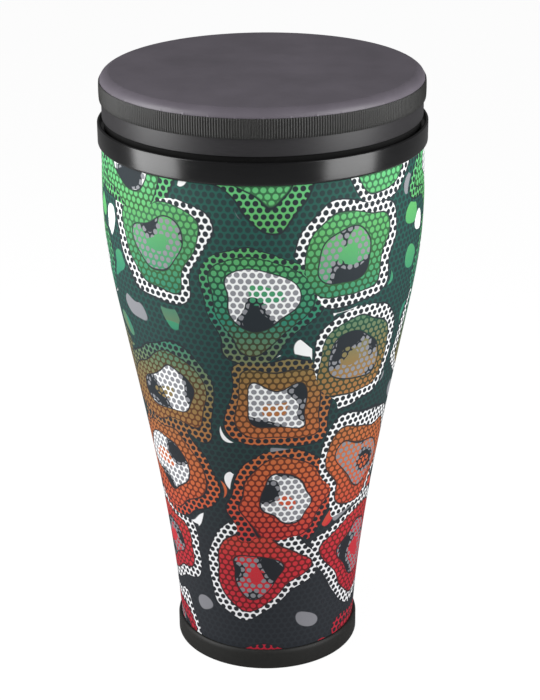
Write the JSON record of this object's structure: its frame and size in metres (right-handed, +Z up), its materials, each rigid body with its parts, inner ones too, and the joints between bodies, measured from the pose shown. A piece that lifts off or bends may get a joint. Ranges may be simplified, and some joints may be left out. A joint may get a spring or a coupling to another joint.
{
  "type": "timbal drum",
  "caption": "Tall tapered hand drum with a fabric-covered shell, black collar and base ring, and a flat pre-tuned head that lifts off.",
  "frame": {"origin": "centre of the base ring's underside, on the floor", "axes": "+Z up along the drum's axis; the fabric's seam faces +Y"},
  "size_m": [0.3322, 0.3322, 0.635],
  "materials": {
    "base_rubber": "matte",
    "shell_fibre": "matte",
    "print_fabric": "printed weave",
    "collar_plastic": "satin",
    "gasket_foam": "matte",
    "hoop_fibre": "satin",
    "head_film": "satin",
    "band_plastic": "ribbed"
  },
  "bodies": {
    "drum": {"base_ring": "base_rubber", "drum_shell": "shell_fibre", "fabric_cover": "print_fabric", "collar_ring": "collar_plastic", "seat_gasket": "gasket_foam"},
    "head": {"head_hoop": "hoop_fibre", "head_film": "head_film", "ribbed_band": "band_plastic"}
  },
  "joints": [
    {"name": "head_lift", "type": "slide", "parent": "drum", "child": "head", "axis": [0, 0, 1], "range_m": [0, 0.12]}
  ]
}
